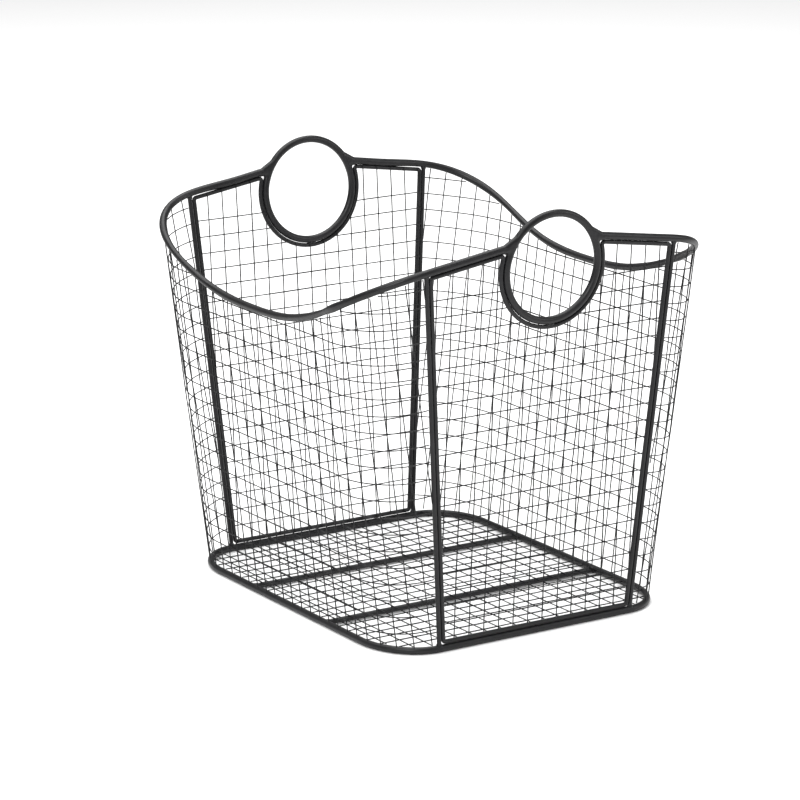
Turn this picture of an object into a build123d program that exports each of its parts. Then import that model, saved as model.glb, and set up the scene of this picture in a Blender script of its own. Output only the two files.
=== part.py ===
from build123d import *
import math
import os

# Wire produce basket: an open-topped basket of welded, powder-coated steel wire.
# Millimetres, +Z up. The origin is the centre of the footprint, on the plane that the
# base ring stands on. The basket's length runs along Y: its two handle ends, front and
# back, face -Y and +Y, and its two dipped long sides, left and right, face -X and +X.
# Every height below is measured from the axis of the base ring unless it says otherwise.

# Driving dimensions, all to the axes of the rods
RIM_HEIGHT = 280.0        # rim above the base ring, at the four posts
POST_TOP = 106.1          # half the distance between the two posts of an end, at the rim
POST_BASE = 83.6          # the same, at the base ring
LENGTH_TOP = 165.0        # half the basket's length, at the rim
LENGTH_BASE = 147.0       # half the basket's length, at the base ring
CORNER_TOP = 47.9         # width of a rounded corner, across X, at the rim
CORNER_BASE = 36.9        # the same, at the base ring
CORNER_STRETCH = 1.27     # length of a rounded corner, along Y, over its width
SWOOP_DIP = 51.0          # how far the rim falls from a post to the middle of a long side
SWOOP_FULLNESS = 7.3      # extra fall halfway between the post and the middle
ARM_SLOPE = 0.15          # rise of the rim from a post towards the ring handle
RING_RADIUS = 39.0        # ring handle
RING_HEIGHT = 271.8       # centre of the ring handle
CROSSBAR_OFFSET = 52.0    # each base crossbar from the middle of the basket

# Rod and wire diameters
RIM_ROD = 5.5
RING_ROD = 5.5
BASE_ROD = 5.2
CROSSBAR_ROD = 4.2
POST_ROD = 3.2
FRAME_ROD = 3.2
MESH_WIRE = 0.8

# The end frame nests inside the rods round it with these gaps
POST_GAP = 0.4
RIM_GAP = 0.1
RING_GAP = 0.25
BASE_GAP = 0.4
FRAME_BEND = 2.0          # bend radius at its six corners

# Half-inch square mesh
PITCH = 12.7
MESH_LAP = 0.6            # mesh ends past the axis of the rod that they are welded to
WALL_MESH_OUT = 0.8       # wall uprights stand this far outside the axes of the rim and posts
LAYER_GAP = 0.1           # left between wires that cross or end at a rod, clear of overlap
SHORTEST_WIRE = 6.0       # cut-offs shorter than this are left out

# Where each mesh sheet was cut: the share of a pitch by which its wires miss the middle
FRONT_SHIFT = 0.5
BACK_SHIFT = 0.82
LEFT_SHIFT = 0.36
RIGHT_SHIFT = 0.36
BASE_SHIFT_X = 0.07
BASE_SHIFT_Y = 0.65
END_FIRST_ROW = 17.9      # lowest cross wire of an end above the base ring
WALL_FIRST_ROW = 10.9     # lowest cross wire of a long side above the base ring

# Places that the rim rod's smooth curve passes through, on each arm and each half of a side
ARM_STEPS = 4
SWOOP_STEPS = 16
SHORT_WIRE_STEPS = 5      # and each short cross wire that lies in a corner
HALVINGS = 30             # of a span that is searched for where something starts

BASE_AXIS = BASE_ROD / 2
SIDE_TOP = POST_TOP + CORNER_TOP
SIDE_BASE = POST_BASE + CORNER_BASE
SEAM_TOP = LENGTH_TOP - CORNER_TOP * CORNER_STRETCH
SEAM_BASE = LENGTH_BASE - CORNER_BASE * CORNER_STRETCH
SIDE_SLANT = math.hypot(RIM_HEIGHT, SIDE_TOP - SIDE_BASE)
END_SLANT = math.hypot(RIM_HEIGHT, LENGTH_TOP - LENGTH_BASE)


def blend(base, top, height):
    """A size that changes evenly from the base ring up to the rim."""
    return base + (top - base) * height / RIM_HEIGHT


def rod(path, diameter):
    """A round rod bent along a path."""
    section = Plane(path @ 0, z_dir=path % 0) * Circle(diameter / 2)
    return sweep(section, path=path)


# --- The shape of a long side: a flat wall that turns round a conical corner at each end ---

def corner_point(angle, height):
    """Point of the +X +Y corner; the angle is 0 at the post and 90 degrees at the side."""
    radius = blend(CORNER_BASE, CORNER_TOP, height)
    x = blend(POST_BASE, POST_TOP, height) + radius * math.sin(angle)
    y = blend(SEAM_BASE, SEAM_TOP, height) + CORNER_STRETCH * radius * math.cos(angle)
    return Vector(x, y, height)


def corner_normal(angle):
    """Outward normal of the corner, the same all the way up one of its straight lines."""
    line = corner_point(angle, RIM_HEIGHT) - corner_point(angle, 0)
    along = Vector(math.cos(angle), -CORNER_STRETCH * math.sin(angle), 0)
    return along.cross(line).normalized() * -1


def corner_run(angle):
    """How far round the corner the rim has gone at an angle from the post."""
    lengthening = (CORNER_STRETCH - 1) * (angle / 2 - math.sin(2 * angle) / 4)
    return CORNER_TOP * (angle + lengthening)


def crossing(measure, low, high):
    """Where a measure that is negative at low and positive at high passes zero."""
    for _ in range(HALVINGS):
        middle = (low + high) / 2
        if measure(middle) > 0:
            high = middle
        else:
            low = middle
    return high


CORNER_RUN = corner_run(math.pi / 2)
RIM_RUN = CORNER_RUN + SEAM_TOP
APEX_HEIGHT = -RIM_HEIGHT * CORNER_BASE / (CORNER_TOP - CORNER_BASE)
APEX = corner_point(0, APEX_HEIGHT)
UNROLL_STEPS = 90


def unroll_corner():
    """Turning angle of the flattened corner at evenly spaced angles, from side to post."""
    rays = []
    for step in range(UNROLL_STEPS + 1):
        angle = math.pi / 2 * (1 - step / UNROLL_STEPS)
        rays.append((corner_point(angle, 0) - APEX).normalized())
    turned = [0.0]
    for before, after in zip(rays, rays[1:]):
        turned.append(turned[-1] + (after - before).length)
    return turned


UNROLLED = unroll_corner()
FLAT_APEX = (APEX.Y, APEX_HEIGHT * SIDE_SLANT / RIM_HEIGHT)
SEAM_TURN = math.atan2(SEAM_BASE - FLAT_APEX[0], -FLAT_APEX[1])


def corner_angle(turn):
    """Angle of the corner that lies this far round the flattened corner."""
    step = 0
    while step < UNROLL_STEPS - 1 and UNROLLED[step + 1] < turn:
        step += 1
    part = (turn - UNROLLED[step]) / (UNROLLED[step + 1] - UNROLLED[step])
    return math.pi / 2 * (1 - (step + part) / UNROLL_STEPS)


def wall_place(across, up):
    """Where a point of the flat mesh sheet lies once the sheet is bent round the wall.

    Gives the point, the outward normal there, and how far along the rim it is,
    from 0 at the post to 1 in the middle of the side. The wall is the +X one.
    """
    turn = math.atan2(abs(across) - FLAT_APEX[0], up - FLAT_APEX[1]) - SEAM_TURN
    if turn <= 0:
        height = up * RIM_HEIGHT / SIDE_SLANT
        point = Vector(blend(SIDE_BASE, SIDE_TOP, height), abs(across), height)
        normal = corner_normal(math.pi / 2)
        share = abs(across) / blend(SEAM_BASE, SEAM_TOP, height)
        along = 1 - share * SEAM_TOP / RIM_RUN
    else:
        angle = corner_angle(turn)
        ray = (corner_point(angle, 0) - APEX).normalized()
        reach = math.hypot(abs(across) - FLAT_APEX[0], up - FLAT_APEX[1])
        point = APEX + ray * reach
        normal = corner_normal(angle)
        along = corner_run(angle) / RIM_RUN
    if across < 0:
        point = Vector(point.X, -point.Y, point.Z)
        normal = Vector(normal.X, -normal.Y, normal.Z)
    return point, normal, along


def rim_height(along):
    """Height of the rim, from a post (0) to the middle of the long side (1)."""
    leave = ARM_SLOPE * RIM_RUN * along * (1 - along) ** 2
    fall = SWOOP_DIP * (3 * along ** 2 - 2 * along ** 3)
    full = SWOOP_FULLNESS * 16 * along ** 2 * (1 - along) ** 2
    return RIM_HEIGHT - leave - fall - full


def rim_point(along, end):
    """Point of the right rim on the half that runs to the given end, -1 front or 1 back."""
    height = rim_height(along)
    run = along * RIM_RUN
    if run < CORNER_RUN:
        point = corner_point(crossing(lambda angle: corner_run(angle) - run, 0, math.pi / 2), height)
    else:
        share = (RIM_RUN - run) / SEAM_TOP
        x = blend(SIDE_BASE, SIDE_TOP, height)
        point = Vector(x, share * blend(SEAM_BASE, SEAM_TOP, height), height)
    return Vector(point.X, end * point.Y, point.Z + BASE_AXIS)


# --- Rods ---

def end_plane():
    """The plane of the front end: X across, Y up the slant, Z outward."""
    lean = (LENGTH_TOP - LENGTH_BASE) / END_SLANT
    outward = Vector(0, -RIM_HEIGHT / END_SLANT, -lean)
    return Plane(origin=(0, -LENGTH_BASE, BASE_AXIS), x_dir=(1, 0, 0), z_dir=outward)


FRONT = end_plane()
SLANT = END_SLANT / RIM_HEIGHT
RING_UP = RING_HEIGHT * SLANT
ARM_RISE = ARM_SLOPE * SLANT


def on_front(across, up, out=0.0):
    """A place given on the front end's own plane."""
    return FRONT.from_local_coords((across, up, out))


def to_back(shape):
    """The same shape at the back end."""
    return mirror(shape, about=Plane.XZ)


def to_left(shape):
    """The same shape at the left side."""
    return mirror(shape, about=Plane.YZ)


def make_base_ring():
    half = Line((SIDE_BASE, -SEAM_BASE), (SIDE_BASE, SEAM_BASE))
    centre = (POST_BASE, SEAM_BASE)
    corner = EllipticalCenterArc(centre, CORNER_BASE, CORNER_BASE * CORNER_STRETCH, arc_size=90)
    far_corner = corner.mirror(Plane.YZ)
    back = Line((POST_BASE, LENGTH_BASE), (-POST_BASE, LENGTH_BASE))
    back_half = [corner, back, far_corner]
    outline = [half, half.mirror(Plane.YZ)] + back_half
    outline += [edge.mirror(Plane.XZ) for edge in back_half]
    return rod(Wire(outline).moved(Location((0, 0, BASE_AXIS))), BASE_ROD)


def make_ring_handle():
    place = Plane(origin=on_front(0, RING_UP), x_dir=(1, 0, 0), z_dir=FRONT.z_dir)
    return place * Torus(RING_RADIUS, RING_ROD / 2)


def make_rim_rod():
    """The right rim rod, from the front ring handle round the long side to the back one."""
    half = []
    for step in range(ARM_STEPS):
        across = RING_RADIUS + (POST_TOP - RING_RADIUS) * step / ARM_STEPS
        half.append(on_front(across, END_SLANT + (POST_TOP - across) * ARM_RISE))
    half += [rim_point(step / SWOOP_STEPS, -1) for step in range(SWOOP_STEPS + 1)]
    other_half = [Vector(point.X, -point.Y, point.Z) for point in half[-2::-1]]
    return rod(Spline(half + other_half), RIM_ROD)


def make_post(base_ring, rim_rod):
    """The front right post, its ends shaped to the rods that it is welded to."""
    post = rod(Line(on_front(POST_BASE, 0), on_front(POST_TOP, END_SLANT)), POST_ROD)
    return post - base_ring - rim_rod


def make_crossbar(base_ring):
    height = BASE_AXIS
    start = Vector(-SIDE_BASE, -CROSSBAR_OFFSET, height)
    return rod(Line(start, Vector(SIDE_BASE, -CROSSBAR_OFFSET, height)), CROSSBAR_ROD) - base_ring


# --- End frames ---

FRAME_BASE = BASE_ROD / 2 + BASE_GAP + FRAME_ROD / 2
FRAME_RING = RING_RADIUS + RING_ROD / 2 + RING_GAP + FRAME_ROD / 2
POST_LEAN = (POST_TOP - POST_BASE) / END_SLANT
FRAME_POST_INSET = (POST_ROD / 2 + POST_GAP + FRAME_ROD / 2) * math.hypot(1, POST_LEAN)
FRAME_ARM_DROP = (RIM_ROD / 2 + RIM_GAP + FRAME_ROD / 2) * math.hypot(1, ARM_RISE)


def frame_side(up):
    """Half width of the end frame at a height up the slant."""
    return POST_BASE + POST_LEAN * up - FRAME_POST_INSET


def frame_top(across):
    """Height of the end frame under the rim's arm."""
    return END_SLANT + (POST_TOP - abs(across)) * ARM_RISE - FRAME_ARM_DROP


def frame_corner():
    """Where the post side and the arm side of the end frame meet."""
    up = END_SLANT
    for _ in range(HALVINGS):
        up = frame_top(frame_side(up))
    return frame_side(up), up


def frame_ring_end():
    """Where the arm side of the end frame meets the arc round the ring handle."""
    across = FRAME_RING
    for _ in range(HALVINGS):
        across = math.sqrt(FRAME_RING ** 2 - (frame_top(across) - RING_UP) ** 2)
    return across, frame_top(across)


def make_end_frame():
    side, top = frame_corner()
    ring_side, ring_top = frame_ring_end()
    foot = (frame_side(FRAME_BASE), FRAME_BASE)
    head = (side, top)
    ring_end = (ring_side, ring_top)
    right = [Line(foot, head), Line(head, ring_end)]
    arc = ThreePointArc(ring_end, (0, RING_UP - FRAME_RING), (-ring_side, ring_top))
    left = [Line((-ring_side, ring_top), (-side, top)), Line((-side, top), (-foot[0], foot[1]))]
    bottom = Line((-foot[0], foot[1]), foot)
    outline = Wire(right + [arc] + left + [bottom])
    return rod(FRONT * outline.fillet_2d(FRAME_BEND, outline.vertices()), FRAME_ROD)


# --- Mesh ---

END_UPRIGHT_OUT = -(FRAME_ROD + MESH_WIRE) / 2
END_CROSS_OUT = END_UPRIGHT_OUT - MESH_WIRE - LAYER_GAP
WALL_CROSS_OUT = WALL_MESH_OUT - MESH_WIRE - LAYER_GAP
POST_CLEARANCE = (POST_ROD + MESH_WIRE) / 2 + LAYER_GAP
RIM_CLEARANCE = RIM_ROD / 2 + LAYER_GAP
BASE_CLEARANCE = BASE_ROD / 2 + LAYER_GAP
SHEET_TURN = SEAM_TURN + UNROLLED[-1]


def straight_wire(start, stop):
    return rod(Line(start, stop), MESH_WIRE)


def end_uprights(shift):
    """Upright wires of the front end."""
    wires = []
    count = math.ceil(POST_TOP / PITCH)
    for place in range(-count, count + 1):
        across = (place + shift) * PITCH
        lean_foot = (abs(across) + FRAME_POST_INSET - POST_BASE) / POST_LEAN
        low = max(FRAME_BASE - MESH_LAP, lean_foot)
        high = frame_top(across) + MESH_LAP
        if abs(across) < FRAME_RING:
            high = RING_UP - math.sqrt(FRAME_RING ** 2 - across ** 2) + MESH_LAP
        if high - low > SHORTEST_WIRE:
            start = on_front(across, low, END_UPRIGHT_OUT)
            wires.append(straight_wire(start, on_front(across, high, END_UPRIGHT_OUT)))
    return wires


def end_cross_wires():
    """Cross wires of the front end, in two lengths where the ring handle parts them."""
    wires = []
    for row in range(math.floor((END_SLANT - END_FIRST_ROW) / PITCH)):
        up = END_FIRST_ROW + row * PITCH
        side = frame_side(up) + MESH_LAP
        spans = [(-side, side)]
        if abs(up - RING_UP) < FRAME_RING:
            inner = math.sqrt(FRAME_RING ** 2 - (up - RING_UP) ** 2) - MESH_LAP
            spans = [(-side, -inner), (inner, side)]
        for start, stop in spans:
            ends = [on_front(across, up, END_CROSS_OUT) for across in (start, stop)]
            wires.append(straight_wire(*ends))
    return wires


def on_wall(across, up, out):
    """A place on the flat mesh sheet, once it is bent round the right side."""
    point, normal, _ = wall_place(across, up)
    return point + normal * out + Vector(0, 0, BASE_AXIS)


def sheet_edge(up):
    """How far across the flat mesh sheet the post is."""
    return FLAT_APEX[0] + (up - FLAT_APEX[1]) * math.tan(SHEET_TURN)


def above_rim(across, up):
    """How far a place on the mesh sheet is above the underside of the rim.

    Where the rim slopes, its underside is lower, and a square-cut wire meets it sooner.
    """
    point, _, along = wall_place(across, up)
    step = 0.5 / SWOOP_STEPS
    slope = (rim_height(along - step) - rim_height(along + step)) / (2 * step * RIM_RUN)
    underside = RIM_CLEARANCE * math.hypot(1, slope) + MESH_WIRE / 2 * abs(slope)
    return point.Z - rim_height(along) + underside


def wall_uprights(shift):
    """Upright wires of the right side. Those in the corners are very slightly bent."""
    wires = []
    count = math.ceil(sheet_edge(SIDE_SLANT) / PITCH)
    for place in range(-count, count + 1):
        across = (place + shift) * PITCH
        clear_of_post = abs(across) + POST_CLEARANCE - FLAT_APEX[0]
        foot = clear_of_post / math.tan(SHEET_TURN) + FLAT_APEX[1]
        lowest = crossing(lambda up: wall_place(across, up)[0].Z - BASE_CLEARANCE, 0, PITCH)
        low = max(lowest, foot)
        if low > SIDE_SLANT:
            continue
        high = crossing(lambda up: above_rim(across, up), low, SIDE_SLANT)
        if high - low < SHORTEST_WIRE:
            continue
        heights = (low, (low + high) / 2, high)
        points = [on_wall(across, up, WALL_MESH_OUT) for up in heights]
        wires.append(bent_wire(points))
    return wires


def bent_wire(points):
    """A wire through three places, straight if they are in line."""
    start, middle, stop = points
    sag = (middle - (start + stop) * 0.5).length
    path = Line(start, stop) if sag < 0.02 else ThreePointArc(start, middle, stop)
    return rod(path, MESH_WIRE)


def corner_bend(seam, stop, up):
    """Cross wire from the end of the flat wall round its corner, in two smooth arcs."""
    first_end = on_wall((seam + stop) / 2, up, WALL_CROSS_OUT)
    start = on_wall(seam, up, WALL_CROSS_OUT)
    first = TangentArc(start, first_end, tangent=(0, math.copysign(1, seam), 0))
    second = TangentArc(first_end, on_wall(stop, up, WALL_CROSS_OUT), tangent=first % 1)
    return [first, second]


def wall_cross_wires():
    """Cross wires of the right side, in two lengths where the rim dips below them."""
    wires = []
    for row in range(math.floor((SIDE_SLANT - WALL_FIRST_ROW) / PITCH) + 1):
        up = WALL_FIRST_ROW + row * PITCH
        edge = sheet_edge(up) - POST_CLEARANCE
        seam = SEAM_BASE + (SEAM_TOP - SEAM_BASE) * up / SIDE_SLANT
        if above_rim(0, up) < -MESH_WIRE:
            path = corner_bend(-seam, -edge, up)[::-1]
            path.append(Line(on_wall(-seam, up, WALL_CROSS_OUT), on_wall(seam, up, WALL_CROSS_OUT)))
            path += corner_bend(seam, edge, up)
            wires.append(rod(Wire(path), MESH_WIRE))
            continue
        if above_rim(edge, up) > -MESH_WIRE:
            continue
        inner = crossing(lambda across: -above_rim(across, up) - MESH_WIRE, 0, edge)
        if edge - inner < SHORTEST_WIRE:
            continue
        if inner < seam:
            path = [Line(on_wall(inner, up, WALL_CROSS_OUT), on_wall(seam, up, WALL_CROSS_OUT))]
            path += corner_bend(seam, edge, up)
            wire = rod(Wire(path), MESH_WIRE)
        else:
            shares = [step / SHORT_WIRE_STEPS for step in range(SHORT_WIRE_STEPS + 1)]
            places = [inner + (edge - inner) * share for share in shares]
            wire = rod(Spline([on_wall(across, up, WALL_CROSS_OUT) for across in places]), MESH_WIRE)
        wires += [wire, mirror(wire, about=Plane.XZ)]
    return wires


BASE_LENGTHWISE_UP = BASE_AXIS + (CROSSBAR_ROD + MESH_WIRE) / 2
BASE_CROSSWISE_UP = BASE_LENGTHWISE_UP - MESH_WIRE - LAYER_GAP
CLEAR_OF_RING = PITCH / 3


def ring_inset(height):
    """How far inside the base ring's axis its surface is, beside a wire at this height."""
    drop = max(0, abs(height - BASE_AXIS) - MESH_WIRE / 2)
    return math.sqrt((BASE_ROD / 2) ** 2 - drop ** 2) + LAYER_GAP


def base_reach(offset, half, corner, inset):
    """How far from the middle a base wire can run before it meets the base ring.

    The base's half sizes and the corner's are given across the wire and along it.
    """
    into_corner = abs(offset) + MESH_WIRE / 2 - (half[0] - corner[0])
    if into_corner <= 0:
        return half[1] - inset
    share = into_corner / (corner[0] - inset)
    return half[1] - corner[1] + (corner[1] - inset) * math.sqrt(1 - share ** 2)


def base_wires(height, shift, half, corner):
    """Wires of the base mesh that run along Y and end at the base ring."""
    wires = []
    count = math.ceil(half[0] / PITCH)
    for place in range(-count, count + 1):
        offset = (place + shift) * PITCH
        if abs(offset) > half[0] - CLEAR_OF_RING:
            continue
        reach = base_reach(offset, half, corner, ring_inset(height))
        wires.append(straight_wire(Vector(offset, -reach, height), Vector(offset, reach, height)))
    return wires


# --- Writing the parts ---

def save(name, shape):
    solids = shape if isinstance(shape, list) else [shape]
    solids = [solid for item in solids for solid in item.solids()]
    if len(solids) == 1:
        export_step(solids[0], f"parts/{name}.step")
    else:
        export_step(Compound(children=solids), f"parts/{name}.step")


def all_of(shapes, move):
    return [move(shape) for shape in shapes]


def main():
    os.makedirs("parts", exist_ok=True)
    base_ring = make_base_ring()
    ring_front = make_ring_handle()
    ring_back = to_back(ring_front)
    rim_right = make_rim_rod() - ring_front - ring_back
    rim_left = to_left(rim_right)
    post = make_post(base_ring, rim_right)
    crossbar = make_crossbar(base_ring)
    end_frame = make_end_frame()
    save("base_ring", base_ring)
    save("base_crossbar_front", crossbar)
    save("base_crossbar_back", to_back(crossbar))
    save("ring_handle_front", ring_front)
    save("ring_handle_back", ring_back)
    save("rim_rod_right", rim_right)
    save("rim_rod_left", rim_left)
    save("post_front_right", post)
    save("post_front_left", to_left(post))
    save("post_back_right", to_back(post))
    save("post_back_left", to_back(to_left(post)))
    save("end_frame_front", end_frame)
    save("end_frame_back", to_back(end_frame))
    cross_wires = end_cross_wires()
    save("front_mesh_uprights", end_uprights(FRONT_SHIFT))
    save("front_mesh_cross_wires", cross_wires)
    save("back_mesh_uprights", all_of(end_uprights(BACK_SHIFT), to_back))
    save("back_mesh_cross_wires", all_of(cross_wires, to_back))
    wall_rows = wall_cross_wires()
    save("right_mesh_uprights", wall_uprights(RIGHT_SHIFT))
    save("right_mesh_cross_wires", wall_rows)
    save("left_mesh_uprights", all_of(wall_uprights(LEFT_SHIFT), to_left))
    save("left_mesh_cross_wires", all_of(wall_rows, to_left))
    half = (SIDE_BASE, LENGTH_BASE)
    corner = (CORNER_BASE, CORNER_BASE * CORNER_STRETCH)
    lengthwise = base_wires(BASE_LENGTHWISE_UP, BASE_SHIFT_X, half, corner)
    crosswise = base_wires(BASE_CROSSWISE_UP, BASE_SHIFT_Y, half[::-1], corner[::-1])
    save("base_mesh_lengthwise", lengthwise)
    save("base_mesh_crosswise", [wire.rotate(Axis.Z, 90) for wire in crosswise])


if __name__ == "__main__":
    main()
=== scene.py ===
import math

import bpy
from bpy.props import FloatProperty, IntProperty, PointerProperty, StringProperty
from mathutils import Matrix, Vector


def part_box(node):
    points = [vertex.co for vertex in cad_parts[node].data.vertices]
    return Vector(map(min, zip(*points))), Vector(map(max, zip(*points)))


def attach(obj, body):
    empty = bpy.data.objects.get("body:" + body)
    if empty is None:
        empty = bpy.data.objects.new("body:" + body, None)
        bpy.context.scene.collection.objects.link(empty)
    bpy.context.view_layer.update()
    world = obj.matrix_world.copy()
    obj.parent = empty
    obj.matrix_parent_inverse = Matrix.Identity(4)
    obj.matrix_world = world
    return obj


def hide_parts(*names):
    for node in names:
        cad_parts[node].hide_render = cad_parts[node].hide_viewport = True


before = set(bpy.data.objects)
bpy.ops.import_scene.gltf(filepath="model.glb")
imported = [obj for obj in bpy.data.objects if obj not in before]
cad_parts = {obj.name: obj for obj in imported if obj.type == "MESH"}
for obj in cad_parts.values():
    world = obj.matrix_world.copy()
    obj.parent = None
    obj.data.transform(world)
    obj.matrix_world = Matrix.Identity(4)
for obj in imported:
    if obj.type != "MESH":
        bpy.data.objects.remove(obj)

bl_info = {
    "name": "Wire Produce Basket",
    "version": (1, 0, 0),
    "blender": (4, 5, 0),
    "location": "3D View > Sidebar > Basket",
    "description": "Powder coat, welds and square mesh of a steel wire basket, and its studio",
    "category": "Object",
}

# Lengths are in metres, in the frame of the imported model: +Z is up, the basket's length
# runs along Y, and its near handle end faces -Y.
MM = 0.001
BODY = "root"

RODS = (
    "base_ring", "base_crossbar_front", "base_crossbar_back",
    "post_front_left", "post_front_right", "post_back_left", "post_back_right",
    "rim_rod_left", "rim_rod_right", "ring_handle_front", "ring_handle_back",
    "end_frame_front", "end_frame_back",
)
MESH_LAYERS = (
    "front_mesh_uprights", "front_mesh_cross_wires",
    "back_mesh_uprights", "back_mesh_cross_wires",
    "left_mesh_uprights", "left_mesh_cross_wires",
    "right_mesh_uprights", "right_mesh_cross_wires",
    "base_mesh_lengthwise", "base_mesh_crosswise",
)
ENDS = {"front": -1, "back": 1}
SIDES = {"left": -1, "right": 1}


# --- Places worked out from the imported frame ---

def extent(name):
    low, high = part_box(name)
    return high - low


def middle(name):
    low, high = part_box(name)
    return (low + high) / 2


def turned(point, end, side=1):
    """The same place at another end or side: front and right are the ones worked out."""
    return Vector((point.x * side, -point.y * end, point.z))


# Radii of the rods
BASE_TUBE = extent("base_ring").z / 2
CROSSBAR_TUBE = extent("base_crossbar_front").z / 2
POST_TUBE = 1.6 * MM

# The front end is a leaning plane: the way up it, its outward normal, and how far it leans
BASE_FRONT = Vector((0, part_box("base_ring")[0].y + BASE_TUBE, middle("base_ring").z))
RING_MIDDLE = middle("ring_handle_front")
UP_END = (RING_MIDDLE - BASE_FRONT).normalized()
END_NORMAL = Vector((0, -UP_END.z, UP_END.y))
LEAN = abs(UP_END.y)

# The front ring's axis is a circle in that plane
RING_REACH = extent("ring_handle_front").x / 2
RING_TUBE = (extent("ring_handle_front").y / 2 - RING_REACH * LEAN) / (1 - LEAN)
RING_RADIUS = RING_REACH - RING_TUBE

# Fall of the rim's arms along the front plane for each unit outwards from the ring
ARM_SLOPE = 0.15


# --- Modelling by hand, in code ---

# Grain of the primitives that the welds are melted from
STUB_SIDES = 32
DROP_SEGMENTS = 24
DROP_RINGS = 16
HOOP_STEPS = 128
HOOP_SIDES = 24
SMOOTH_ANGLE = math.radians(50)


def deselect_all():
    for other in list(bpy.context.selected_objects):
        other.select_set(False)


def choose(*objects):
    """Selects these objects alone, the first one active."""
    deselect_all()
    for obj in objects:
        obj.select_set(True)
    bpy.context.view_layer.objects.active = objects[0]


def settle(obj):
    """Moves an object's place, turn and scale into its mesh."""
    choose(obj)
    bpy.ops.object.transform_apply(location=True, rotation=True, scale=True)


def add_modifier(obj, kind, **settings):
    """Adds a modifier with its settings and applies it."""
    modifier = obj.modifiers.new(kind.title(), kind)
    for name, value in settings.items():
        setattr(modifier, name, value)
    choose(obj)
    bpy.ops.object.modifier_apply(modifier=modifier.name)


def facing(direction):
    """The turn that points a primitive's own Z along a direction."""
    return direction.to_track_quat("Z", "Y").to_euler()


def add_stub(start, stop, radius, end_radius=None):
    """A short round bar or cone between two places."""
    deselect_all()
    along = stop - start
    bpy.ops.mesh.primitive_cone_add(
        vertices=STUB_SIDES,
        radius1=radius,
        radius2=radius if end_radius is None else end_radius,
        depth=along.length,
        location=(start + stop) / 2,
        rotation=facing(along),
    )
    stub = bpy.context.object
    settle(stub)
    return stub


def add_drop(place, radius, stretch=(1, 1, 1)):
    """A drop of weld metal: a ball stretched along its own three axes."""
    deselect_all()
    bpy.ops.mesh.primitive_uv_sphere_add(
        segments=DROP_SEGMENTS,
        ring_count=DROP_RINGS,
        radius=radius,
        location=place,
        rotation=facing(Vector((0, 0, 1))),
    )
    drop = bpy.context.object
    drop.scale = stretch
    settle(drop)
    return drop


def add_hoop(place, axis, radius, tube):
    """A round hoop about an axis: radius is the middle of its tube, tube the tube's own."""
    deselect_all()
    bpy.ops.mesh.primitive_torus_add(
        major_segments=HOOP_STEPS,
        minor_segments=HOOP_SIDES,
        major_radius=radius,
        minor_radius=tube,
        location=place,
        rotation=facing(axis),
    )
    hoop = bpy.context.object
    settle(hoop)
    return hoop


def melt(name, parts, voxel, passes):
    """Runs bars and drops together into one smooth weld."""
    choose(*parts)
    if len(parts) > 1:
        bpy.ops.object.join()
    weld = bpy.context.object
    weld.name = name
    weld.data.name = name
    add_modifier(weld, "REMESH", mode="VOXEL", voxel_size=voxel)
    add_modifier(weld, "SMOOTH", factor=0.5, iterations=passes)
    choose(weld)
    bpy.ops.object.shade_smooth()
    return weld


def roughen(obj, texture, strength):
    """Makes a surface slightly uneven, along its normals."""
    add_modifier(
        obj, "DISPLACE", texture=texture, texture_coords="LOCAL", direction="NORMAL",
        mid_level=0.5, strength=strength,
    )


def cloud_texture(name, size, colour=False):
    """Soft noise for a displacement: in colour, each axis has its own."""
    texture = bpy.data.textures.new(name, "CLOUDS")
    texture.noise_scale = size
    texture.noise_depth = 1
    texture.cloud_type = "COLOR" if colour else "GRAYSCALE"
    return texture


def mount(obj, material):
    """Gives a finished piece its material, and has it ride on the basket."""
    obj.data.materials.clear()
    obj.data.materials.append(material)
    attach(obj, BODY)
    return obj


# --- Materials ---

# Sizes of the coat's patterns, in millimetres
COLOUR_PATCH = 22.0
GLOSS_PATCH = 6.0

# Noise values at which the tint and the gloss reach their two ends
TINT_DARK_AT = 0.35
TINT_LIGHT_AT = 0.68
GLOSS_FROM = 0.3
GLOSS_TO = 0.7
GLOSS_SPREAD = 0.05

# Level of the coat's surface reflection, where 0.5 is that of plain resin
SHEEN = 0.32

# Name, orange peel size and orange peel height of each coat, the last two in millimetres
COATS = {
    "rod": ("Satin_Powder_Coat_On_Rod", 0.9, 0.05),
    "wire": ("Satin_Powder_Coat_On_Wire", 0.6, 0.03),
    "weld": ("Satin_Powder_Coat_Over_Weld", 1.4, 0.16),
}


def linear(hex_colour):
    """An sRGB hex colour as linear RGBA."""
    channels = []
    for place in (1, 3, 5):
        value = int(hex_colour[place:place + 2], 16) / 255
        channels.append(value / 12.92 if value <= 0.04045 else ((value + 0.055) / 1.055) ** 2.4)
    return (*channels, 1)


def add_node(material, kind, links=None, inputs=None, **settings):
    """Adds a node: its settings, its constant inputs, and links from other nodes' outputs."""
    tree = material.node_tree
    node = tree.nodes.new(kind)
    for name, value in settings.items():
        setattr(node, name, value)
    for name, value in (inputs or {}).items():
        node.inputs[name].default_value = value
    for name, (source, output) in (links or {}).items():
        tree.links.new(source.outputs[output], node.inputs[name])
    return node


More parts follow.
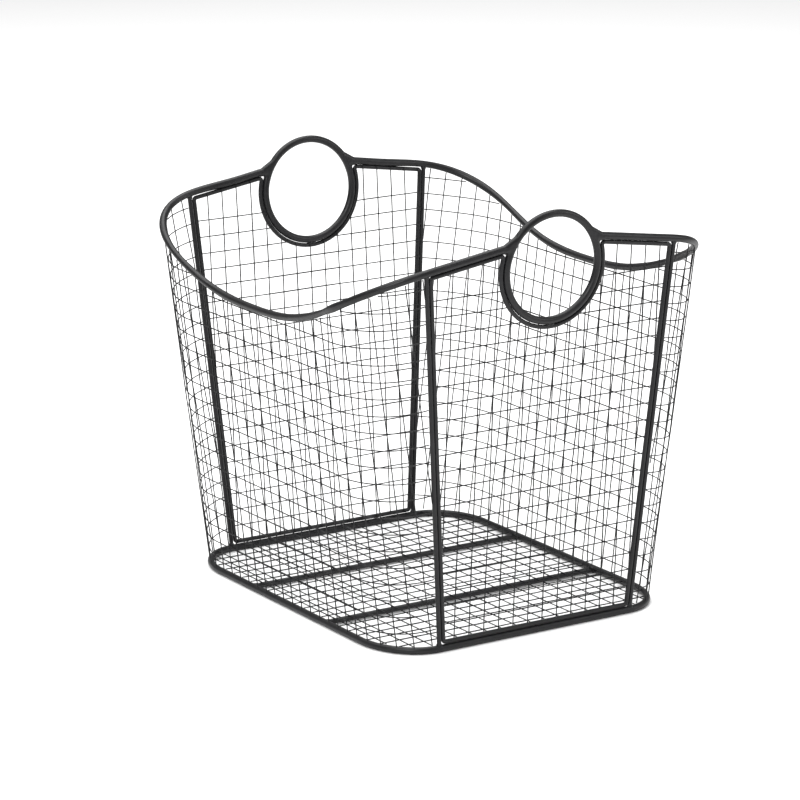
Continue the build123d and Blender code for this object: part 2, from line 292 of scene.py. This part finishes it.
def powder_coat(name, light, dark, roughness, peel_size, peel_height):
    """Satin polyester powder coat on steel.

    The powder melts and flows into a skin with a fine orange peel, a little glossier in some
    patches than in others, so its highlights are soft and broken up rather than sharp.
    """
    material = bpy.data.materials.new(name)
    material.use_nodes = True
    material.node_tree.nodes.clear()
    place = add_node(material, "ShaderNodeTexCoord")
    cloud = add_node(
        material, "ShaderNodeTexNoise",
        links={"Vector": (place, "Object")},
        inputs={"Scale": 1 / (COLOUR_PATCH * MM), "Detail": 3.0, "Roughness": 0.55},
    )
    tint = add_node(material, "ShaderNodeValToRGB", links={"Fac": (cloud, "Fac")})
    tint.color_ramp.elements[0].position = TINT_DARK_AT
    tint.color_ramp.elements[0].color = linear(dark)
    tint.color_ramp.elements[1].position = TINT_LIGHT_AT
    tint.color_ramp.elements[1].color = linear(light)
    flow = add_node(
        material, "ShaderNodeTexNoise",
        links={"Vector": (place, "Object")},
        inputs={"Scale": 1 / (GLOSS_PATCH * MM), "Detail": 2.0, "Roughness": 0.5},
    )
    gloss = add_node(
        material, "ShaderNodeMapRange",
        links={"Value": (flow, "Fac")},
        inputs={
            "From Min": GLOSS_FROM, "From Max": GLOSS_TO,
            "To Min": roughness - GLOSS_SPREAD, "To Max": roughness + GLOSS_SPREAD,
        },
    )
    peel = add_node(
        material, "ShaderNodeTexNoise",
        links={"Vector": (place, "Object")},
        inputs={"Scale": 1 / (peel_size * MM), "Detail": 2.0, "Roughness": 0.6},
    )
    bump = add_node(
        material, "ShaderNodeBump",
        links={"Height": (peel, "Fac")},
        inputs={"Strength": 0.6, "Distance": peel_height * MM},
    )
    shader = add_node(
        material, "ShaderNodeBsdfPrincipled",
        links={
            "Base Color": (tint, "Color"),
            "Roughness": (gloss, "Result"),
            "Normal": (bump, "Normal"),
        },
        inputs={"IOR": 1.5, "Specular IOR Level": SHEEN},
    )
    add_node(material, "ShaderNodeOutputMaterial", links={"Surface": (shader, "BSDF")})
    return material


def studio_paper(colour):
    """Matt white backdrop paper."""
    material = bpy.data.materials.new("Matt_Backdrop_Paper")
    material.use_nodes = True
    material.node_tree.nodes.clear()
    shader = add_node(
        material, "ShaderNodeBsdfPrincipled",
        inputs={"Base Color": linear(colour), "Roughness": 0.9, "IOR": 1.4},
    )
    add_node(material, "ShaderNodeOutputMaterial", links={"Surface": (shader, "BSDF")})
    return material


def coat(scene, kind):
    """The powder coat of the rods, the wires or the welds, made when it is first asked for."""
    name, peel_size, peel_height = COATS[kind]
    found = bpy.data.materials.get(name)
    if found:
        return found
    settings = scene.basket_coat
    return powder_coat(
        name, settings.light, settings.dark, settings.roughness, peel_size, peel_height,
    )


# --- Sizes and colours that a user would change ---

class BasketCoat(bpy.types.PropertyGroup):
    light: StringProperty(
        name="Light patches", description="sRGB hex colour of the coat where it is thin",
        default="#161618",
    )
    dark: StringProperty(
        name="Dark patches", description="sRGB hex colour of the coat where it is thick",
        default="#0c0c0e",
    )
    roughness: FloatProperty(
        name="Roughness", description="Middle roughness of the satin coat",
        default=0.4, min=0.1, max=0.9, subtype="FACTOR",
    )


class BasketMesh(bpy.types.PropertyGroup):
    longest_edge: FloatProperty(
        name="Longest edge", description="Wires are divided until no edge is longer than this",
        default=20 * MM, unit="LENGTH", precision=4,
    )
    wave_length: FloatProperty(
        name="Wave length", description="Distance over which the mesh wires wander",
        default=55 * MM, unit="LENGTH", precision=4,
    )
    wave_height: FloatProperty(
        name="Wave height", description="Full range of that wander",
        default=0.9 * MM, unit="LENGTH", precision=5,
    )
    coat: FloatProperty(
        name="Coat thickness", description="Skin that closes the gap where wires cross",
        default=0.02 * MM, unit="LENGTH", precision=5,
    )


class BasketWelds(bpy.types.PropertyGroup):
    swell: FloatProperty(
        name="Swell", description="How far a weld starts outside the rod that it runs into",
        default=0.2 * MM, unit="LENGTH", precision=5,
    )
    reach: FloatProperty(
        name="Reach", description="How far a ring weld runs along each rod",
        default=10 * MM, unit="LENGTH", precision=4,
    )
    voxel: FloatProperty(
        name="Voxel", description="Grain of the melted welds",
        default=0.35 * MM, unit="LENGTH", precision=5,
    )
    passes: IntProperty(
        name="Smoothing", description="Passes that round the welds off", default=80, min=1,
    )
    gusset_up: FloatProperty(
        name="Upper gusset", description="How far the weld climbs in the corner above the rim",
        default=6.0 * MM, unit="LENGTH", precision=4,
    )
    gusset_down: FloatProperty(
        name="Lower gusset", description="How far it runs down in the corner below the rim",
        default=4.0 * MM, unit="LENGTH", precision=4,
    )
    lower_share: FloatProperty(
        name="Lower thickness", description="Thickness of the lower gusset over the ring's",
        default=0.75, subtype="FACTOR",
    )
    ripple: FloatProperty(
        name="Ripple", description="Size of the lumps in the small welds",
        default=1.6 * MM, unit="LENGTH", precision=5,
    )
    ripple_height: FloatProperty(
        name="Ripple height", description="Full range of those lumps",
        default=0.25 * MM, unit="LENGTH", precision=5,
    )
    bead_sink: FloatProperty(
        name="Bead sink", description="How deep the bead's middle lies in the base ring",
        default=0.55 * MM, unit="LENGTH", precision=5,
    )
    bead_tube: FloatProperty(
        name="Bead", description="Radius of the bead that closes the base ring",
        default=0.75 * MM, unit="LENGTH", precision=5,
    )
    bead_passes: IntProperty(
        name="Bead smoothing", description="Passes that round the beads off", default=12, min=1,
    )
    tack: FloatProperty(
        name="Tack", description="Radius of a tack between the ring and the end frame",
        default=1.7 * MM, unit="LENGTH", precision=5,
    )
    tack_spread: FloatProperty(
        name="Tack spread", description="Half the distance between the two drops of a tack",
        default=1.5 * MM, unit="LENGTH", precision=5,
    )
    collar_sink: FloatProperty(
        name="Collar sink", description="How deep a collar starts in the larger rod",
        default=1.0 * MM, unit="LENGTH", precision=5,
    )
    collar_lip: FloatProperty(
        name="Collar lip", description="How far a collar's thin end starts outside the rod",
        default=0.25 * MM, unit="LENGTH", precision=5,
    )
    collar_passes: IntProperty(
        name="Collar smoothing", description="Passes that round the collars off",
        default=20, min=1,
    )
    collar_depth: FloatProperty(
        name="Collar depth", description="How far a collar climbs the rod that it holds",
        default=2.2 * MM, unit="LENGTH", precision=5,
    )
    collar_flare: FloatProperty(
        name="Collar flare", description="How far a collar spreads round the rod's foot",
        default=1.5 * MM, unit="LENGTH", precision=5,
    )


class BasketStudio(bpy.types.PropertyGroup):
    paper: StringProperty(
        name="Paper", description="sRGB hex colour of the floor", default="#fbfbfb",
    )
    lens: FloatProperty(
        name="Lens", description="Focal length of the camera in millimetres", default=168.3,
    )
    yaw: FloatProperty(
        name="Yaw", description="Turn of the camera from looking along +Y",
        default=math.radians(32.609), subtype="ANGLE",
    )
    pitch: FloatProperty(
        name="Pitch", description="How far the camera looks down",
        default=math.radians(14.711), subtype="ANGLE",
    )
    roll: FloatProperty(
        name="Roll", description="Tilt of the camera", default=math.radians(-0.175),
        subtype="ANGLE",
    )


# --- Operators ---

class BASKET_OT_rods(bpy.types.Operator):
    """Coats the frame's rods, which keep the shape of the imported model"""
    bl_idname = "basket.rods"
    bl_label = "Coat the Rods"

    def execute(self, context):
        material = coat(context.scene, "rod")
        for name in RODS:
            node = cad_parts[name]
            node.data.materials.clear()
            node.data.materials.append(material)
            choose(node)
            bpy.ops.object.shade_smooth_by_angle(angle=SMOOTH_ANGLE)
        return {"FINISHED"}


MERGE_DISTANCE = 0.001 * MM


class BASKET_OT_mesh(bpy.types.Operator):
    """Turns the straight wires of each mesh layer into welded wires that wander a little"""
    bl_idname = "basket.mesh"
    bl_label = "Make the Square Mesh"

    def execute(self, context):
        sizes = context.scene.basket_mesh
        wander = cloud_texture("Mesh_Wander", sizes.wave_length, colour=True)
        for name in MESH_LAYERS:
            layer = self.copy_layer(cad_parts[name])
            self.divide(layer, sizes.longest_edge)
            add_modifier(
                layer, "DISPLACE", texture=wander, texture_coords="LOCAL",
                direction="RGB_TO_XYZ", mid_level=0.5, strength=sizes.wave_height,
            )
            add_modifier(layer, "DISPLACE", direction="NORMAL", mid_level=0, strength=sizes.coat)
            choose(layer)
            bpy.ops.object.shade_smooth_by_angle(angle=SMOOTH_ANGLE)
            mount(layer, coat(context.scene, "wire"))
            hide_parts(name)
        return {"FINISHED"}

    def copy_layer(self, node):
        """The layer's own mesh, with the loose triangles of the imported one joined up."""
        choose(node)
        bpy.ops.object.duplicate()
        layer = bpy.context.object
        layer.name = node.name.replace("_mesh_", "_welded_")
        for key in list(layer.keys()):
            if key.startswith("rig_"):
                del layer[key]
        bpy.ops.object.mode_set(mode="EDIT")
        bpy.ops.mesh.select_all(action="SELECT")
        bpy.ops.mesh.remove_doubles(threshold=MERGE_DISTANCE)
        bpy.ops.mesh.select_mode(type="EDGE")
        bpy.ops.object.mode_set(mode="OBJECT")
        return layer

    def divide(self, layer, longest):
        """Halves the long edges until every one is short enough to bend."""
        choose(layer)
        while self.select_long(layer.data, longest):
            bpy.ops.object.mode_set(mode="EDIT")
            bpy.ops.mesh.subdivide(number_cuts=1)
            bpy.ops.object.mode_set(mode="OBJECT")

    def select_long(self, mesh, longest):
        """Selects the edges longer than this alone, and says whether there are any."""
        mesh.vertices.foreach_set("select", [False] * len(mesh.vertices))
        mesh.polygons.foreach_set("select", [False] * len(mesh.polygons))
        places = [v.co for v in mesh.vertices]
        long_edges = [
            (places[edge.vertices[0]] - places[edge.vertices[1]]).length > longest
            for edge in mesh.edges
        ]
        mesh.edges.foreach_set("select", long_edges)
        return any(long_edges)


# Bars in each half of a ring weld's arc, and how far out from the joint its drop lies
ARC_STEPS = 3
CROTCH_SHARE = 0.4


class BASKET_OT_ring_welds(bpy.types.Operator):
    """Runs each rim rod into its ring handle with a smooth weld"""
    bl_idname = "basket.ring_welds"
    bl_label = "Weld the Ring Handles"

    def execute(self, context):
        sizes = context.scene.basket_welds
        for end_name, end in ENDS.items():
            for side_name, side in SIDES.items():
                weld = self.weld(f"weld_ring_{end_name}_{side_name}", sizes, end, side)
                mount(weld, coat(context.scene, "weld"))
        return {"FINISHED"}

    def weld(self, name, sizes, end, side):
        """The ring's arc and the rim's end, with a gusset of weld above and below."""
        joint, along = rim_joint()
        radial = (joint - RING_MIDDLE).normalized()
        tangent = radial.cross(END_NORMAL)
        if tangent.z < 0:
            tangent = -tangent
        tube = RING_TUBE + sizes.swell
        place = {
            "high": joint + tangent * sizes.gusset_up,
            "low": joint - tangent * sizes.gusset_down,
            "arm_high": joint + along * (RING_TUBE + sizes.gusset_up),
            "arm_low": joint + along * (RING_TUBE + sizes.gusset_down),
            "arm_end": joint + along * sizes.reach,
            "joint": joint,
        }
        place = {key: turned(value, end, side) for key, value in place.items()}
        arc = []
        for step in range(-ARC_STEPS, ARC_STEPS):
            ends = [
                ring_place(joint, tangent, part / ARC_STEPS * sizes.reach)
                for part in (step, step + 1)
            ]
            arc.append(add_stub(*(turned(place, end, side) for place in ends), tube))
        arm = add_stub(place["joint"], place["arm_end"], tube)
        upper = add_stub(place["high"], place["arm_high"], RING_TUBE)
        lower = add_stub(place["low"], place["arm_low"], RING_TUBE * sizes.lower_share)
        outwards = place["arm_high"] - place["joint"]
        crotch = add_drop(place["joint"] + outwards * CROTCH_SHARE, tube)
        return melt(name, [*arc, arm, upper, lower, crotch], sizes.voxel, sizes.passes)


def ring_place(joint, tangent, run):
    """Place on the front ring's axis, this far round it from the joint."""
    radial = (joint - RING_MIDDLE).normalized()
    angle = run / RING_RADIUS
    return RING_MIDDLE + (radial * math.cos(angle) + tangent * math.sin(angle)) * RING_RADIUS


def rim_joint():
    """Where the rim's arm runs into the front ring's right side, and the arm's direction."""
    rim_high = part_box("rim_rod_right")[1]
    rise = (rim_high.z - RING_TUBE - RING_MIDDLE.z) / UP_END.z
    across = math.sqrt(RING_RADIUS ** 2 - rise ** 2)
    joint = RING_MIDDLE + UP_END * rise + Vector((across, 0, 0))
    along = (Vector((1, 0, 0)) - UP_END * ARM_SLOPE).normalized()
    return joint, along


def post_axis():
    """Foot and head of the front right post's axis."""
    low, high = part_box("post_front_right")
    foot = Vector((low.x + POST_TUBE, high.y - POST_TUBE, low.z))
    head = Vector((high.x - POST_TUBE, low.y + POST_TUBE, high.z))
    return foot, head


class BASKET_OT_collars(bpy.types.Operator):
    """Puts a small fillet weld round each end of the posts and the base crossbars"""
    bl_idname = "basket.collars"
    bl_label = "Weld the Posts and Crossbars"

    def execute(self, context):
        sizes = context.scene.basket_welds
        texture = cloud_texture("Weld_Ripple", sizes.ripple)
        foot, head = post_axis()
        up = (head - foot).normalized()
        bar_end = middle("base_crossbar_front")
        bar_end.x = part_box("base_crossbar_front")[1].x
        joints = {
            "post_foot": (foot, up, POST_TUBE),
            "post_head": (head, -up, POST_TUBE),
            "crossbar": (bar_end, Vector((-1, 0, 0)), CROSSBAR_TUBE),
        }
        for joint_name, (place, along, tube) in joints.items():
            for end_name, end in ENDS.items():
                for side_name, side in SIDES.items():
                    weld = self.collar(
                        f"weld_{joint_name}_{end_name}_{side_name}", sizes,
                        turned(place, end, side), turned(along, end, side), tube,
                    )
                    roughen(weld, texture, sizes.ripple_height)
                    mount(weld, coat(context.scene, "weld"))
        return {"FINISHED"}

    def collar(self, name, sizes, place, along, tube):
        """A cone of weld round a rod's foot, no wider than the base ring's rod."""
        start = place - along * sizes.collar_sink
        top = place + along * sizes.collar_depth
        foot = min(tube + sizes.collar_flare, BASE_TUBE)
        skirt = add_stub(start, top, foot, tube + sizes.collar_lip)
        return melt(name, [skirt], sizes.voxel, sizes.collar_passes)


TACK_STRETCH = (1.3, 1.1, 0.8)


class BASKET_OT_beads(bpy.types.Operator):
    """Adds the bead that closes the base ring and the tacks that hold the end frames"""
    bl_idname = "basket.beads"
    bl_label = "Add Beads and Tacks"

    def execute(self, context):
        sizes = context.scene.basket_welds
        texture = cloud_texture("Bead_Ripple", sizes.ripple)
        radius = BASE_TUBE - sizes.bead_sink
        bead = add_hoop(BASE_FRONT, Vector((1, 0, 0)), radius, sizes.bead_tube)
        bead = melt("weld_bead_base_ring", [bead], sizes.voxel / 2, sizes.bead_passes)
        roughen(bead, texture, sizes.ripple_height)
        mount(bead, coat(context.scene, "weld"))
        seam = RING_MIDDLE - UP_END * RING_REACH
        for end_name, end in ENDS.items():
            drops = [
                add_drop(
                    turned(seam + Vector((shift * sizes.tack_spread, 0, 0)), end),
                    sizes.tack, TACK_STRETCH,
                )
                for shift in (-1, 1)
            ]
            tack = melt(f"weld_tack_ring_{end_name}", drops, sizes.voxel / 2, sizes.bead_passes)
            roughen(tack, texture, sizes.ripple_height)
            mount(tack, coat(context.scene, "weld"))
        return {"FINISHED"}


CAMERA_PLACE = (-1.4728, -2.2675, 0.8516)
SENSOR_WIDTH = 36.0
FLOOR_SIZE = 30.0
FLOOR_DROP = 0.2 * MM
WORLD_STRENGTH = 0.4
LIGHT_AIM = Vector((0, 0, 0.14))

# Place, size and power in watts of each light
LIGHTS = {
    "overhead_softbox": ((0.0, 0.6, 2.8), (3.2, 3.2), 125.0),
    "key_softbox": ((-2.2, -1.6, 2.0), (1.4, 1.4), 55.0),
    "fill_softbox": ((2.2, -1.8, 1.4), (1.4, 1.4), 22.0),
}


class BASKET_OT_stage(bpy.types.Operator):
    """Sets up the paper floor, the soft lights and the camera"""
    bl_idname = "basket.stage"
    bl_label = "Set the Stage"

    def execute(self, context):
        scene = context.scene
        settings = scene.basket_studio
        deselect_all()
        bpy.ops.mesh.primitive_plane_add(size=FLOOR_SIZE, location=(0, 0, -FLOOR_DROP))
        floor = context.object
        floor.name = "paper_floor"
        settle(floor)
        floor.data.materials.append(studio_paper(settings.paper))
        world = bpy.data.worlds.new("Studio")
        world.use_nodes = True
        sky = world.node_tree.nodes["Background"]
        sky.inputs["Color"].default_value = (1, 1, 1, 1)
        sky.inputs["Strength"].default_value = WORLD_STRENGTH
        scene.world = world
        for name, (place, size, power) in LIGHTS.items():
            deselect_all()
            bpy.ops.object.light_add(type="AREA", location=place)
            light = context.object
            light.name = name
            light.data.shape = "RECTANGLE"
            light.data.size, light.data.size_y = size
            light.data.energy = power
            light.rotation_euler = facing(Vector(place) - LIGHT_AIM)
        self.add_camera(scene, settings)
        scene.view_settings.view_transform = "Standard"
        return {"FINISHED"}

    def add_camera(self, scene, settings):
        deselect_all()
        bpy.ops.object.camera_add(location=CAMERA_PLACE)
        camera = bpy.context.object
        turn = (
            Matrix.Rotation(-settings.yaw, 4, "Z")
            @ Matrix.Rotation(math.pi / 2 - settings.pitch, 4, "X")
            @ Matrix.Rotation(settings.roll, 4, "Z")
        )
        camera.rotation_euler = turn.to_euler()
        camera.data.lens = settings.lens
        camera.data.sensor_width = SENSOR_WIDTH
        scene.camera = camera


class BASKET_PT_panel(bpy.types.Panel):
    """Lists the steps of making the basket"""
    bl_idname = "BASKET_PT_panel"
    bl_label = "Wire Produce Basket"
    bl_space_type = "VIEW_3D"
    bl_region_type = "UI"
    bl_category = "Basket"

    def draw(self, context):
        layout = self.layout
        for group, steps in STEPS.items():
            box = layout.box()
            settings = getattr(context.scene, group)
            for name in settings.__annotations__:
                box.prop(settings, name)
            for step in steps:
                box.operator(step)


STEPS = {
    "basket_coat": ("basket.rods",),
    "basket_mesh": ("basket.mesh",),
    "basket_welds": ("basket.ring_welds", "basket.collars", "basket.beads"),
    "basket_studio": ("basket.stage",),
}
GROUPS = {
    "basket_coat": BasketCoat,
    "basket_mesh": BasketMesh,
    "basket_welds": BasketWelds,
    "basket_studio": BasketStudio,
}
CLASSES = (
    *GROUPS.values(),
    BASKET_OT_rods, BASKET_OT_mesh, BASKET_OT_ring_welds, BASKET_OT_collars, BASKET_OT_beads,
    BASKET_OT_stage, BASKET_PT_panel,
)


def register():
    for item in CLASSES:
        bpy.utils.register_class(item)
    for name, group in GROUPS.items():
        setattr(bpy.types.Scene, name, PointerProperty(type=group))


def unregister():
    for name in GROUPS:
        delattr(bpy.types.Scene, name)
    for item in reversed(CLASSES):
        bpy.utils.unregister_class(item)


def main():
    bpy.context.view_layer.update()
    register()
    for steps in STEPS.values():
        for step in steps:
            group, operator = step.split(".")
            getattr(getattr(bpy.ops, group), operator)()


if __name__ == "__main__":
    main()
